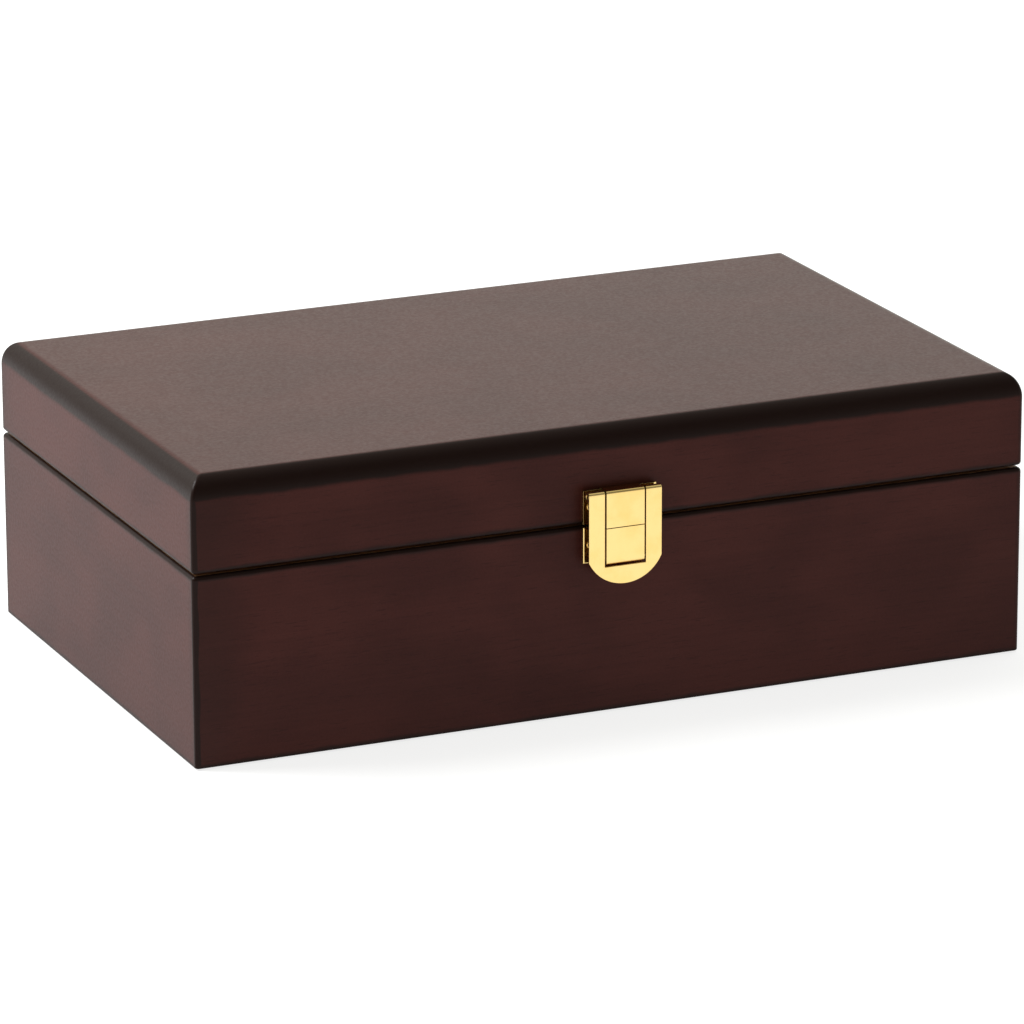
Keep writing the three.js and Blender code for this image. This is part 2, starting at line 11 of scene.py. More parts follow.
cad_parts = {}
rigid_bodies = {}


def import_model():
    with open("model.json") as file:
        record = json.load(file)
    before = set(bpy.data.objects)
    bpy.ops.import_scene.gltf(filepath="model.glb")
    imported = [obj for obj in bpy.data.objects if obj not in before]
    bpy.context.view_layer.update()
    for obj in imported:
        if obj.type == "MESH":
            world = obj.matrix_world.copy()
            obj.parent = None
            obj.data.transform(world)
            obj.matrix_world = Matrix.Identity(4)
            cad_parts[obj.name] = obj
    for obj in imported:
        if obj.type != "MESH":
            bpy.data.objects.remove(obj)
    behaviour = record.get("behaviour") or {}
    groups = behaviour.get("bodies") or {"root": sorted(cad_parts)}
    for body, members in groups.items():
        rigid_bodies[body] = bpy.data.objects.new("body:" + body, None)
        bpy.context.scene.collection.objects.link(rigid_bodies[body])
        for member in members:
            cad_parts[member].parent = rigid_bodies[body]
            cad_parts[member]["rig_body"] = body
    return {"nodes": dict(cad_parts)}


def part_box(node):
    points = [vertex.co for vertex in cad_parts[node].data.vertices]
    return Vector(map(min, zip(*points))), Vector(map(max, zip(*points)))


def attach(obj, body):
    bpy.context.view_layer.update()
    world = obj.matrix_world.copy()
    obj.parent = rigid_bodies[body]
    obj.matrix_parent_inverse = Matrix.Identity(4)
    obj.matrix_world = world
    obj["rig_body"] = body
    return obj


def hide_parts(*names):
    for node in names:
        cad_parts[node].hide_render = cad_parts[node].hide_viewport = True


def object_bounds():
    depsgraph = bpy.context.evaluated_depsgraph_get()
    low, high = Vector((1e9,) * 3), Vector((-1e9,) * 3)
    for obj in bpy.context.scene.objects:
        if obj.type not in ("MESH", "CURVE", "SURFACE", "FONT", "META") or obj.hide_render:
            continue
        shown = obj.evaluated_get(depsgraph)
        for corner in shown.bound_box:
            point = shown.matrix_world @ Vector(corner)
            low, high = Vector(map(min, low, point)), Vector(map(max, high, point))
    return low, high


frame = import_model()
cad_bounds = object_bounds()

MM = 0.001
LONG, DEEP, UP = range(3)
NODES = frame["nodes"]
scene = bpy.context.scene

# The wooden box, in metres
HALF_X = cad_bounds[1].x
HALF_Y = -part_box("front_panel")[0].y
CAD_TOP = cad_bounds[1].z
CASE_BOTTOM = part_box("front_panel")[0].z
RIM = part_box("front_panel")[1].z
LID_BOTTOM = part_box("lid_front_rail")[0].z
CORNER = 1.5 * MM  # rounding of the upright corners
SEAM_EDGE = 1.5 * MM  # rounding of the outer edges at the parting gap
FOOT_EDGE = 0.6 * MM
INNER_EDGE = 0.4 * MM
CORNER_STEPS = 6
ARC_STEPS = 6
INNER_ARC_STEPS = 3
ROUND_OVER_IN = 6.43 * MM
ROUND_OVER_DOWN = 9.0 * MM
ROUND_OVER_STEPS = 14
TOP_CORNER = 0.6 * MM  # rounding of the lid's corners where the round-over ends
TOP_MARGINS = (0.8 * MM, 8 * MM)  # where the flat top's mesh has rings, inside the round-over
REBATE_ROOM = 0.1 * MM  # between the bottom panel and its rebate
MORTISE_ROOM = 0.3 * MM
MORTISE_DEEP = 1.2 * MM
MORTISE_REACH = 8.7 * MM

# Meshes
WELD = 0.001 * MM
SAME_PLACE = 0.1 * MM  # what is nearer than this counts as being in one place
OVERCUT = 1.0 * MM  # how far a cutting tool stands out of what it cuts
BEVEL_ANGLE = 30  # degrees from which an edge is rounded
FLAT_ANGLE = 1  # degrees up to which neighbouring faces are joined

# Rounding of each kind of piece's edges, as its width and its number of segments
LATCH_BEVEL = (0.22 * MM, 3)
LATCH_PIN_BEVEL = (0.20 * MM, 3)
HINGE_BEVEL = (0.15 * MM, 2)
SCREW_BEVEL = (0.12 * MM, 2)
FELT_BEVEL = (0.12 * MM, 2)
LINING_BEVEL = (0.80 * MM, 5)
DIVIDER_BEVEL = (0.14 * MM, 2)

# Degrees from which an edge is shaded as a sharp one
HARD_SHARP = 32
BOARD_SHARP = 50
PAD_SHARP = 60
PILLOW_SHARP = 80

# Latch and screws
LATCH_PLATE = 0.9 * MM  # thickness of the fixed plates
PLATE_EDGE = 0.45 * MM
PLATE_EDGE_STEPS = 4
PLATE_LONG_EDGE = 2 * MM  # shorter edges of a plate's front get only the small rounding
PLATE_LEVEL = 0.02 * MM  # how near its front a plate's vertices count as on it
FOLD_RADIUS = 1.8 * MM  # outer radius of the fold round the pin, before it is tightened
FOLD_SQUARENESS = 4  # 2 would leave the fold round
LATCH_SLOT = 8.2 * MM  # the walls between the arms and the bosses are nearer the middle than this
DRIVER_SLOT_HALF = 0.25 * MM
LATCH_DRIVER_SLOT_DEEP = 0.4 * MM
HINGE_DRIVER_SLOT_DEEP = 0.5 * MM

# Pads
PAD_COLUMNS = 60
PAD_ROWS = 36
PAD_CROWN_POWER = 10  # a higher one keeps the crown flat nearer to the edge
PAD_DIMPLES = 0.05  # half their depth, as a share of the pad's thickness
PAD_DIMPLES_PER_METRE = 40

# Pillows
PILLOW_VOXEL = 3 * MM
PILLOW_SLACK = 5 * MM  # how much smaller the pillow starts, on each side
PILLOW_ROUND = 9 * MM  # rounding of its edges at the start
PILLOW_ROUND_STEPS = 4
PILLOW_PRESSURE = 16
PILLOW_SWELL = 8 * MM  # the most a point may move as the pillow fills
PILLOW_FIT = 0.985  # the filled pillow's share of its block
PILLOW_SETTLED = 1.2 * MM  # how much of the crown is pressed flat underneath
FILL_FRAMES = 20
SEAM_AT = 20 * MM  # distance of the two sewn seams from the middle
SEAM_DEPTH = 1.0 * MM
SEAM_WIDTH = 1.6 * MM
PUCKER = 0.45 * MM
PUCKER_REACH = 7 * MM
PUCKERS_PER_METRE = 260
UNEVEN = 0.5 * MM
UNEVEN_PER_METRE = 45
NEXT_PILLOW = Vector((7.3, 3.1, 5.7))  # how far the noise moves on from one pillow to the next
PIPING = 0.8 * MM
PIPING_POINTS = 96
PIPING_SIDES = 8
PIPING_PROUD_MM = 0.1  # how far its middle stands off the cloth, in millimetres
OUTSIDE_PILLOW = 0.2  # a distance from the pillow's middle, well outside it


# ---------------------------------------------------------------- node trees


class Graph:
    """A node tree, built with short calls."""

    def __init__(self, tree, place):
        self.tree = tree
        self.place = self.add("ShaderNodeTexCoord").outputs[place]

    def add(self, kind, settings=(), **values):
        node = self.tree.nodes.new(kind)
        for name, value in dict(settings).items():
            setattr(node, name, value)
        for name, value in values.items():
            self.feed(node.inputs[name], value)
        return node

    def feed(self, socket, value):
        if isinstance(value, bpy.types.NodeSocket):
            self.tree.links.new(value, socket)
        else:
            socket.default_value = value

    def math(self, operation, *values):
        node = self.add("ShaderNodeMath", {"operation": operation})
        for socket, value in zip(node.inputs, values):
            self.feed(socket, value)
        return node.outputs[0]

    def plus(self, first, second):
        return self.math("ADD", first, second)

    def minus(self, first, second):
        return self.math("SUBTRACT", first, second)

    def times(self, first, second):
        return self.math("MULTIPLY", first, second)

    def absolute(self, value):
        return self.math("ABSOLUTE", value)

    def largest(self, first, *others):
        for other in others:
            first = self.math("MAXIMUM", first, other)
        return first

    def fade(self, value, start, end, low=0.0, high=1.0):
        """low where value is at start, high where it is at end, and smooth between them."""
        settings = {"interpolation_type": "SMOOTHSTEP"}
        node = self.add("ShaderNodeMapRange", settings, Value=value)
        for name, number in zip(("From Min", "From Max", "To Min", "To Max"), (start, end, low, high)):
            node.inputs[name].default_value = number
        return node.outputs["Result"]

    def axes(self):
        return self.add("ShaderNodeSeparateXYZ", Vector=self.place).outputs


class Finish(Graph):
    """A material. Places are in metres in the closed box's frame."""

    def __init__(self, name):
        self.material = bpy.data.materials.new(name)
        self.material.use_nodes = True
        super().__init__(self.material.node_tree, "Object")
        self.shader = self.tree.nodes["Principled BSDF"]

    def scaled(self, per_metre):
        node = self.add("ShaderNodeVectorMath", {"operation": "MULTIPLY"})
        self.feed(node.inputs[0], self.place)
        self.feed(node.inputs[1], per_metre)
        return node.outputs[0]

    def noise(self, per_metre, detail=2.0, roughness=0.5):
        node = self.add("ShaderNodeTexNoise", Vector=self.scaled(per_metre), Scale=1.0)
        node.inputs["Detail"].default_value = detail
        node.inputs["Roughness"].default_value = roughness
        return node.outputs["Fac"]

    def mix(self, factor, first, second):
        node = self.add("ShaderNodeMix", {"data_type": "RGBA"})
        self.feed(node.inputs[0], factor)
        self.feed(node.inputs[6], first)
        self.feed(node.inputs[7], second)
        return node.outputs[2]

    def bump(self, height, distance, strength):
        node = self.add("ShaderNodeBump", Height=height, Distance=distance, Strength=strength)
        self.feed(self.shader.inputs["Normal"], node.outputs["Normal"])

    def surface(self, **values):
        """Sets the shader's inputs, whose names have _ for each space, and gives the material."""
        for name, value in values.items():
            self.feed(self.shader.inputs[name.replace("_", " ")], value)
        return self.material


def rgb(red, green, blue):
    return (red, green, blue, 1.0)


# ---------------------------------------------------------------- wood materials

WOOD_DARK = rgb(0.0385, 0.0080, 0.0058)
WOOD_LIGHT = rgb(0.0620, 0.0145, 0.0108)
WOOD_PORE = rgb(0.0160, 0.0040, 0.0030)
# The toner's colour, which is also the colour of the painted shade towards the bottom
WOOD_TONER_AND_SHADE = rgb(0.0115, 0.0045, 0.0032)
WOOD_BARE = rgb(0.3400, 0.1800, 0.0800)
WOOD_BARE_DARK = rgb(0.2000, 0.0950, 0.0400)
WOOD_IOR = 1.2

# Noise cells per metre: along and across the grain, or along X, Y and Z
FIBRES = (14, 620)
PORES = (170, 2400)
BARE_FIBRES = (18, 700)
BARE_PORES = (200, 2600)
PATCHES = (26, 26, 30)
SPECKLE = (1100, 1100, 1100)
LACQUER = (900, 900, 900)
RAGGED = (90, 90, 90)

LACQUER_RELIEF = 0.055 * MM
BARE_RELIEF = 0.08 * MM

# The toner's strength near the box's edges, and the painted shade's strength towards the bottom: the two
# places between which each changes, then its strength at each of them
TONER_BY_SEAM = (2.9 * MM, 1.1 * MM, 0.0, 1.0)
TONER_BY_FOOT = (3.2 * MM, 0.8 * MM, 0.0, 1.0)
# Painted shade: darker towards the bottom, where the lower faces reflect the shaded floor near the box
PAINTED_SHADE_LOW_DOWN = (55 * MM, 2 * MM, 0.0, 0.14)
TONER_ON_POST = (2.4 * MM, 1.5 * MM, 0.0, 0.95)
TONER_ON_RIGHT_POST = (100 * MM, 150 * MM, 1.0, 0.4)
TONER_BESIDE_POST = (28 * MM, 2 * MM, 0.0, 0.42)
TONER_UP_SHOULDER = (CAD_TOP - ROUND_OVER_DOWN, CAD_TOP - ROUND_OVER_DOWN + 1.8 * MM, 0.0, 1.0)
TONER_IN_SHOULDER = (6.3 * MM, 5.1 * MM, 0.0, 1.0)
TONER_LESS_AT_ENDS = 1.0 * MM  # how much narrower the shoulder's toner is at the left and right
TONER_RAGGED = 1.6 * MM
END_STEEPNESS = 4.0  # how much faster the toner beside a post fades on the left face than on the front

MOTTLE_ON_TOP = (CAD_TOP - 2 * MM, CAD_TOP - 0.5 * MM, 0.6, 0.3)  # weaker on the lid's top


def grain_scale(cells, axis):
    """Noise cells per metre for X, Y and Z, when the grain runs along the given axis."""
    along, across = cells
    return tuple(along if i == axis else across for i in range(3))


def toner_and_shade(g):
    """How strongly the toner sprayed on the box's edges, and the painted shade towards the bottom, cover
    the wood, from 0 to 1.
    """
    x, y, z = g.axes()
    from_x = g.minus(HALF_X, g.absolute(x))
    from_y = g.minus(HALF_Y, g.absolute(y))
    inside = g.math("MINIMUM", g.plus(from_x, TONER_LESS_AT_ENDS), from_y)
    from_left_end = g.plus(g.plus(HALF_X, x), g.times(from_y, END_STEEPNESS))
    from_seam = g.absolute(g.minus(z, (RIM + LID_BOTTOM) / 2))
    ragged = g.times(g.minus(g.noise(RAGGED), 0.5), TONER_RAGGED)
    ragged_z = g.plus(z, ragged)
    by_seam = g.fade(g.plus(from_seam, ragged), *TONER_BY_SEAM)
    by_foot = g.fade(ragged_z, *TONER_BY_FOOT)
    # Painted shade, darker towards the bottom
    painted_shade_low_down = g.fade(z, *PAINTED_SHADE_LOW_DOWN)
    on_post = g.fade(g.plus(g.plus(from_x, from_y), ragged), *TONER_ON_POST)
    on_post = g.times(on_post, g.fade(x, *TONER_ON_RIGHT_POST))
    beside_post = g.fade(from_left_end, *TONER_BESIDE_POST)
    shoulder = g.times(g.fade(ragged_z, *TONER_UP_SHOULDER), g.fade(inside, *TONER_IN_SHOULDER))
    return g.largest(by_seam, by_foot, painted_shade_low_down, on_post, beside_post, shoulder)


def mahogany(name, axis):
    """Dark lacquered mahogany whose grain runs along the given axis, toned almost black at the edges, with
    painted shade that darkens it towards the bottom.
    """
    g = Finish(name)
    fibre = g.noise(grain_scale(FIBRES, axis), 4, 0.6)
    pores = g.fade(g.noise(grain_scale(PORES, axis), 1), 0.62, 0.74)
    patches = g.fade(g.noise(PATCHES, 1.5), 0.32, 0.68)
    strength = g.fade(g.axes()["Z"], *MOTTLE_ON_TOP)
    mottle = g.plus(g.times(g.minus(patches, 0.5), strength), 0.3)
    speckle = g.noise(SPECKLE, 1)
    tone = g.plus(mottle, g.fade(fibre, 0.3, 0.7, high=0.22))
    tone = g.plus(tone, g.fade(speckle, 0.3, 0.7, high=0.18))
    wood = g.mix(tone, WOOD_DARK, WOOD_LIGHT)
    wood = g.mix(g.times(pores, 0.35), wood, WOOD_PORE)
    # The toner at the edges and the painted shade low down both darken the wood towards one colour
    colour = g.mix(toner_and_shade(g), wood, WOOD_TONER_AND_SHADE)
    leathery = g.noise(LACQUER, 2)
    relief = g.plus(g.times(fibre, 0.5), g.times(leathery, 0.5))
    relief = g.minus(relief, g.times(pores, 0.3))
    g.bump(relief, LACQUER_RELIEF, 0.5)
    roughness = g.fade(leathery, 0.2, 0.8, 0.33, 0.43)
    return g.surface(Base_Color=colour, Roughness=roughness, IOR=WOOD_IOR)


def bare_wood(name, axis):
    """The unstained, thinly sealed wood of the faces that the lacquer doesn't reach."""
    g = Finish(name)
    fibre = g.noise(grain_scale(BARE_FIBRES, axis), 4, 0.6)
    pores = g.fade(g.noise(grain_scale(BARE_PORES, axis), 1), 0.58, 0.72)
    colour = g.mix(g.fade(fibre, 0.25, 0.75), WOOD_BARE_DARK, WOOD_BARE)
    colour = g.mix(g.times(pores, 0.6), colour, WOOD_PORE)
    g.bump(g.minus(fibre, pores), BARE_RELIEF, 0.5)
    return g.surface(Base_Color=colour, Roughness=0.62)


# ---------------------------------------------------------------- metals, cloths and foam

BRUSHING = (120, 9000)
DULL_PATCHES = (160, 160, 160)
BRUSHED_RELIEF = 0.004 * MM

STROKED_PILE = (45, 45, 70)
PILE_RELIEF = 0.25 * MM

FOAM_CELLS = (1400, 1400, 1400)
FOAM_RELIEF = 0.3 * MM
FOAM_PAINTED_SHADE = rgb(0.42, 0.38, 0.30)
FOAM_LIGHT = rgb(0.72, 0.68, 0.58)

CLOTH_ROUGHNESS = 0.95


def metal(name, bright, dull, roughness, brushed_axis):
    """Plated metal with faint brushing along one axis and duller patches."""
    g = Finish(name)
    brushing = g.noise(grain_scale(BRUSHING, brushed_axis), 2)
    patches = g.noise(DULL_PATCHES, 3)
    colour = g.mix(g.fade(patches, 0.35, 0.75), bright, dull)
    g.bump(brushing, BRUSHED_RELIEF, 0.35)
    return g.surface(Base_Color=colour, Metallic=1.0, Roughness=g.fade(brushing, 0.25, 0.75, *roughness))


def pile(name, light, dark, fibres_per_metre, sheen):
    """Short-pile cloth: fine fibres over soft patches where the pile lies another way."""
    g = Finish(name)
    fibres = g.noise((fibres_per_metre,) * 3, 2, 0.7)
    stroked = g.noise(STROKED_PILE, 2)
    tone = g.plus(g.fade(fibres, 0.25, 0.75, high=0.6), g.fade(stroked, 0.3, 0.7, high=0.4))
    g.bump(fibres, PILE_RELIEF, 0.6)
    g.surface(Sheen_Weight=sheen, Sheen_Roughness=0.4)
    return g.surface(Base_Color=g.mix(tone, dark, light), Roughness=CLOTH_ROUGHNESS)


def open_cell_foam(name):
    """Foam whose cells are painted dark in the middle, as shade in their hollows."""
    g = Finish(name)
    cells = g.add("ShaderNodeTexVoronoi", Vector=g.scaled(FOAM_CELLS), Scale=1.0)
    depth = g.fade(cells.outputs["Distance"], 0.1, 0.6)
    g.bump(depth, FOAM_RELIEF, 0.8)
    # The hollows of the cells get the painted shade
    return g.surface(Base_Color=g.mix(depth, FOAM_PAINTED_SHADE, FOAM_LIGHT), Roughness=CLOTH_ROUGHNESS)


MAHOGANY = {LONG: mahogany("mahogany_long", LONG), DEEP: mahogany("mahogany_deep", DEEP)}
BARE = {LONG: bare_wood("bare_long", LONG), DEEP: bare_wood("bare_deep", DEEP)}
GOLD = metal("latch_gold", rgb(0.94, 0.68, 0.275), rgb(0.90, 0.63, 0.225), (0.09, 0.15), UP)
# Rougher for the unpolished faces, and much darker as painted shade in the gaps behind and inside the latch
GOLD_DULL_AND_SHADED = metal("latch_gold_dull_and_shaded", rgb(0.30, 0.19, 0.08), rgb(0.20, 0.12, 0.05), (0.34, 0.48), UP)
BRASS = metal("hinge_brass", rgb(0.93, 0.70, 0.33), rgb(0.86, 0.62, 0.27), (0.20, 0.30), LONG)
VELOUR = pile("lining_velour", rgb(0.54, 0.37, 0.24), rgb(0.38, 0.25, 0.155), 2600, 0.35)
SUEDE = pile("pillow_suede", rgb(0.66, 0.51, 0.37), rgb(0.52, 0.385, 0.27), 2000, 0.20)
FELT = pile("base_felt", rgb(0.030, 0.017, 0.014), rgb(0.015, 0.008, 0.007), 1800, 0.15)
FOAM = open_cell_foam("underlay_foam")


# ---------------------------------------------------------------- meshes


def new_piece(name, bm):
    """An object with the mesh, which is used up."""
    mesh = bpy.data.meshes.new(name)
    bm.to_mesh(mesh)
    bm.free()
    piece = bpy.data.objects.new(name, mesh)
    scene.collection.objects.link(piece)
    return piece


def baked(piece):
    """The piece with its modifiers turned into its mesh."""
    bpy.context.view_layer.update()
    shown = piece.evaluated_get(bpy.context.evaluated_depsgraph_get())
    mesh = bpy.data.meshes.new_from_object(shown)
    piece.modifiers.clear()
    piece.data = mesh
    return piece


def smoothed(piece, sharp=HARD_SHARP):
    """Shades the piece smoothly, apart from its sharp edges."""
    piece.data.shade_smooth()
    piece.data.set_sharp_from_angle(angle=math.radians(sharp))
    normals = piece.modifiers.new("Normals", "WEIGHTED_NORMAL")
    normals.keep_sharp = True


def settle(piece, node, slot, *materials):
    """The finished piece takes the CAD node's place, body and finish."""
    piece.data.materials.clear()
    for material in materials:
        piece.data.materials.append(material)
    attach(piece, NODES[node]["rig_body"])
    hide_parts(node)
    return piece


def arc(centre, radius, start, end, steps=ARC_STEPS):
    """Points on an arc, from one angle to another in degrees."""
    angles = [math.radians(start + (end - start) * i / steps) for i in range(steps + 1)]
    return [(centre[0] + radius * math.cos(a), centre[1] + radius * math.sin(a)) for a in angles]


def bridge(bm, rings):
    """Quads between each ring of vertices and the next."""
    for lower, upper in zip(rings, rings[1:]):
        count = len(lower)
        for i in range(count):
            j = (i + 1) % count
            bm.faces.new((lower[i], lower[j], upper[j], upper[i]))


def tidy(bm):
    """Joins vertices in one place, and turns all the faces outwards."""
    bmesh.ops.remove_doubles(bm, verts=bm.verts, dist=WELD)
    bmesh.ops.recalc_face_normals(bm, faces=bm.faces)


def capped(bm, rings):
    """A closed form along the rings, with a face at both ends."""
    bridge(bm, rings)
    bm.faces.new(rings[0])
    bm.faces.new(rings[-1])
    tidy(bm)


def carve(piece, boxes):
    """Cuts boxes, each a pair of corners, out of the piece."""
    for low, high in boxes:
        bm = bmesh.new()
        middle, size = (low + high) / 2, high - low
        bmesh.ops.create_cube(bm, matrix=Matrix.Translation(middle) @ Matrix.Diagonal((*size, 1)))
        tool = new_piece("carving_tool", bm)
        cut = piece.modifiers.new("Cut", "BOOLEAN")
        cut.object = tool
        cut.solver = "EXACT"
        baked(piece)
        bpy.data.objects.remove(tool)


# ---------------------------------------------------------------- wooden pieces

# For each side: its length's axis, and how (along, depth, height) becomes a point
SIDES = {
    "front": (LONG, lambda a, d, z: (a, d - HALF_Y, z)),
    "back": (LONG, lambda a, d, z: (-a, HALF_Y - d, z)),
    "left": (DEEP, lambda a, d, z: (d - HALF_X, -a, z)),
    "right": (DEEP, lambda a, d, z: (HALF_X - d, a, z)),
}


def case_outline(bottom, rim, wall):
    """Section of the lower case's wall, as (depth from the outer face, height)."""
    floor_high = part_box("bottom_panel")[1]
    rebate = HALF_X - floor_high.x - REBATE_ROOM
    ledge = floor_high.z + REBATE_ROOM
    inner = wall - INNER_EDGE
    return [
        *arc((FOOT_EDGE, bottom + FOOT_EDGE), FOOT_EDGE, 270, 180),
        *arc((SEAM_EDGE, rim - SEAM_EDGE), SEAM_EDGE, 180, 90),
        *arc((inner, rim - INNER_EDGE), INNER_EDGE, 90, 0, INNER_ARC_STEPS),
        (wall, ledge),
        (rebate, ledge),
        (rebate, bottom),
    ]


def lid_outline(bottom, top, wall):
    """Section of the lid's rail, as (depth from the outer face, height)."""
    inner = wall - INNER_EDGE
    return [
        *arc((SEAM_EDGE, bottom + SEAM_EDGE), SEAM_EDGE, 270, 180),
        (0, top),
        (wall, top),
        *arc((inner, bottom + INNER_EDGE), INNER_EDGE, 0, -90, INNER_ARC_STEPS),
    ]


def mitred_rail(name, outline, half, place):
    """A rail with mitred ends and rounded corners. place turns (along, depth, height) into a point."""
    bm = bmesh.new()
    turns = [math.radians(45 * i / CORNER_STEPS) for i in range(CORNER_STEPS + 1)]
    stations = [(-1, turn) for turn in reversed(turns)] + [(1, turn) for turn in turns]
    rings = []
    for side, turn in stations:
        ring = []
        for depth, height in outline:
            square = max(CORNER, depth)
            reach = max(CORNER - depth, 0)
            along = side * (half - square + reach * math.sin(turn))
            ring.append(bm.verts.new(place(along, square - reach * math.cos(turn), height)))
        rings.append(ring)
    capped(bm, rings)
    return new_piece(name, bm)


def bare_inside(piece):
    """Gives the second material to the mating and inner faces, but not to the glued mitres."""
    for face in piece.data.polygons:
        depth = min(HALF_X - abs(face.center.x), HALF_Y - abs(face.center.y))
        underneath = face.center.z < CASE_BOTTOM + SAME_PLACE
        mitre = min(abs(face.normal.x), abs(face.normal.y)) > 0.5
        face.material_index = int(depth > SEAM_EDGE and not underneath and not mitre)


def mortises(part, mating, inward):
    """The boxes cut for the two hinge leaves. inward is -1 below the gap and 1 above it."""
    z0, z1 = sorted((mating + inward * MORTISE_DEEP, mating - inward * OVERCUT))
    boxes = []
    for side in ("left", "right"):
        low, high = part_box(f"hinge_{side}_{part}_leaf")
        boxes.append(
            (
                Vector((low.x - MORTISE_ROOM, HALF_Y - MORTISE_REACH, z0)),
                Vector((high.x + MORTISE_ROOM, HALF_Y + OVERCUT, z1)),
            )
        )
    return boxes


def frame_of_rails(names, outline_of, part, mating, inward):
    """Four mitred rails. mating is the height of their face at the parting gap."""
    for (side, (axis, place)), node in zip(SIDES.items(), names):
        low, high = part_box(node)
        half = (high - low)[axis] / 2
        wall = (high - low)[1 - axis]
        rail = mitred_rail(node + "_wood", outline_of(low.z, high.z, wall), half, place)
        if side == "back":
            carve(rail, mortises(part, mating, inward))
        settle(rail, node, "mahogany", MAHOGANY[axis], BARE[axis])
        bare_inside(rail)
        smoothed(rail)


def case_walls():
    frame_of_rails([f"{side}_panel" for side in SIDES], case_outline, "box", RIM, -1)


def lid_rails():
    """The lid's four rails, which reach up to its top panel."""
    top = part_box("lid_top")[0].z
    names = [f"lid_{side}_rail" for side in SIDES]
    frame_of_rails(names, lambda low, high, wall: lid_outline(low, top, wall), "lid", LID_BOTTOM, 1)


def rounded_ring(bm, half_x, half_y, corner, height):
    """Vertices round a rectangle with rounded corners."""
    ring = []
    for quarter, (sx, sy) in enumerate(((1, 1), (-1, 1), (-1, -1), (1, -1))):
        centre = (sx * (half_x - corner), sy * (half_y - corner))
        for x, y in arc(centre, corner, 90 * quarter, 90 * quarter + 90, CORNER_STEPS):
            ring.append(bm.verts.new((x, y, height)))
    return ring


def lid_top():
    """The lid's top panel, with the large round-over on its edges."""
    low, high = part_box("lid_top")
    levels = [(0, low.z, CORNER)]
    for i in range(ROUND_OVER_STEPS + 1):
        angle = math.radians(90 * i / ROUND_OVER_STEPS)
        inset = ROUND_OVER_IN * (1 - math.cos(angle))
        height = high.z - ROUND_OVER_DOWN * (1 - math.sin(angle))
        levels.append((inset, height, CORNER + (TOP_CORNER - CORNER) * i / ROUND_OVER_STEPS))
    levels += [(ROUND_OVER_IN + margin, high.z, TOP_CORNER) for margin in TOP_MARGINS]
    bm = bmesh.new()
    capped(bm, [rounded_ring(bm, high.x - i, high.y - i, corner, z) for i, z, corner in levels])
    top = new_piece("lid_top_wood", bm)
    settle(top, "lid_top", "mahogany", MAHOGANY[LONG])
    smoothed(top)


# ---------------------------------------------------------------- metal and boards


def softened(node, suffix, bevel, shapers=()):
    """A copy of a CAD node with its edges rounded. The shapers change its mesh before that."""
    bm = bmesh.new()
    bm.from_mesh(NODES[node].data)
    bmesh.ops.remove_doubles(bm, verts=bm.verts, dist=WELD)
    bmesh.ops.dissolve_limit(bm, angle_limit=math.radians(FLAT_ANGLE), verts=bm.verts, edges=bm.edges)
    for face in bm.faces:
        face.material_index = 0
    for shape in shapers:
        shape(bm)
    piece = new_piece(f"{node}_{suffix}", bm)
    modifier = piece.modifiers.new("Bevel", "BEVEL")
    modifier.width, modifier.segments = bevel
    modifier.limit_method = "ANGLE"
    modifier.angle_limit = math.radians(BEVEL_ANGLE)
    return baked(piece)


def round_off(bm, edges, width, steps):
    """Rounds the edges given."""
    bmesh.ops.bevel(
        bm, geom=edges, offset=width, segments=steps, profile=0.5, affect="EDGES", clamp_overlap=True
    )


def tight_fold(bm):
    """Squares up the outer side of the fold round the latch's pin."""
    low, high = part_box("latch_pin")
    axis = (low + high) / 2
    for vertex in bm.verts:
        out, up = axis.y - vertex.co.y, vertex.co.z - axis.z
        radius = math.hypot(out, up)
        if out > 0 and up > 0 and abs(radius - FOLD_RADIUS) < SAME_PLACE:
            stretch = radius / (out**FOLD_SQUARENESS + up**FOLD_SQUARENESS) ** (1 / FOLD_SQUARENESS)
            vertex.co.y = axis.y - out * stretch
            vertex.co.z = axis.z + up * stretch


def rounded_plate(bm):
    """Rounds the outer edges of a latch plate's front face more than the rest of it."""
    front = max(vertex.co.y for vertex in bm.verts) - LATCH_PLATE
    edges = [
        edge
        for edge in bm.edges
        if all(abs(vertex.co.y - front) < PLATE_LEVEL for vertex in edge.verts)
        and edge.calc_length() > PLATE_LONG_EDGE
        and edge.is_convex
    ]
    round_off(bm, edges, PLATE_EDGE, PLATE_EDGE_STEPS)


def dull_and_shaded_inside(piece):
    """Gives the second material to the backs and the walls beside the bosses: rougher as unpolished faces,
    and much darker as painted shade in the latch's gaps.
    """
    for face in piece.data.polygons:
        wall = abs(face.normal.x) > 0.9 and abs(face.center.x) < LATCH_SLOT
        face.material_index = int(wall or face.normal.y > 0.5)


def latch():
    """The two fixed plates, the flap and its pin."""
    shapers = {
        "latch_lid_plate": (tight_fold, rounded_plate),
        "latch_box_plate": (rounded_plate,),
        "latch_flap": (tight_fold,),
    }
    for node, changes in shapers.items():
        piece = softened(node, "gilt", LATCH_BEVEL, changes)
        settle(piece, node, "gold", GOLD, GOLD_DULL_AND_SHADED)
        dull_and_shaded_inside(piece)
        smoothed(piece)
    smoothed(settle(softened("latch_pin", "gilt", LATCH_PIN_BEVEL), "latch_pin", "gold", GOLD))


def slotted_screw(node, slot_low, slot_high):
    """A screw whose head has a driver slot, cut between the two corners."""
    piece = softened(node, "turned", SCREW_BEVEL)
    carve(piece, [(slot_low, slot_high)])
    smoothed(settle(piece, node, "brass", BRASS))


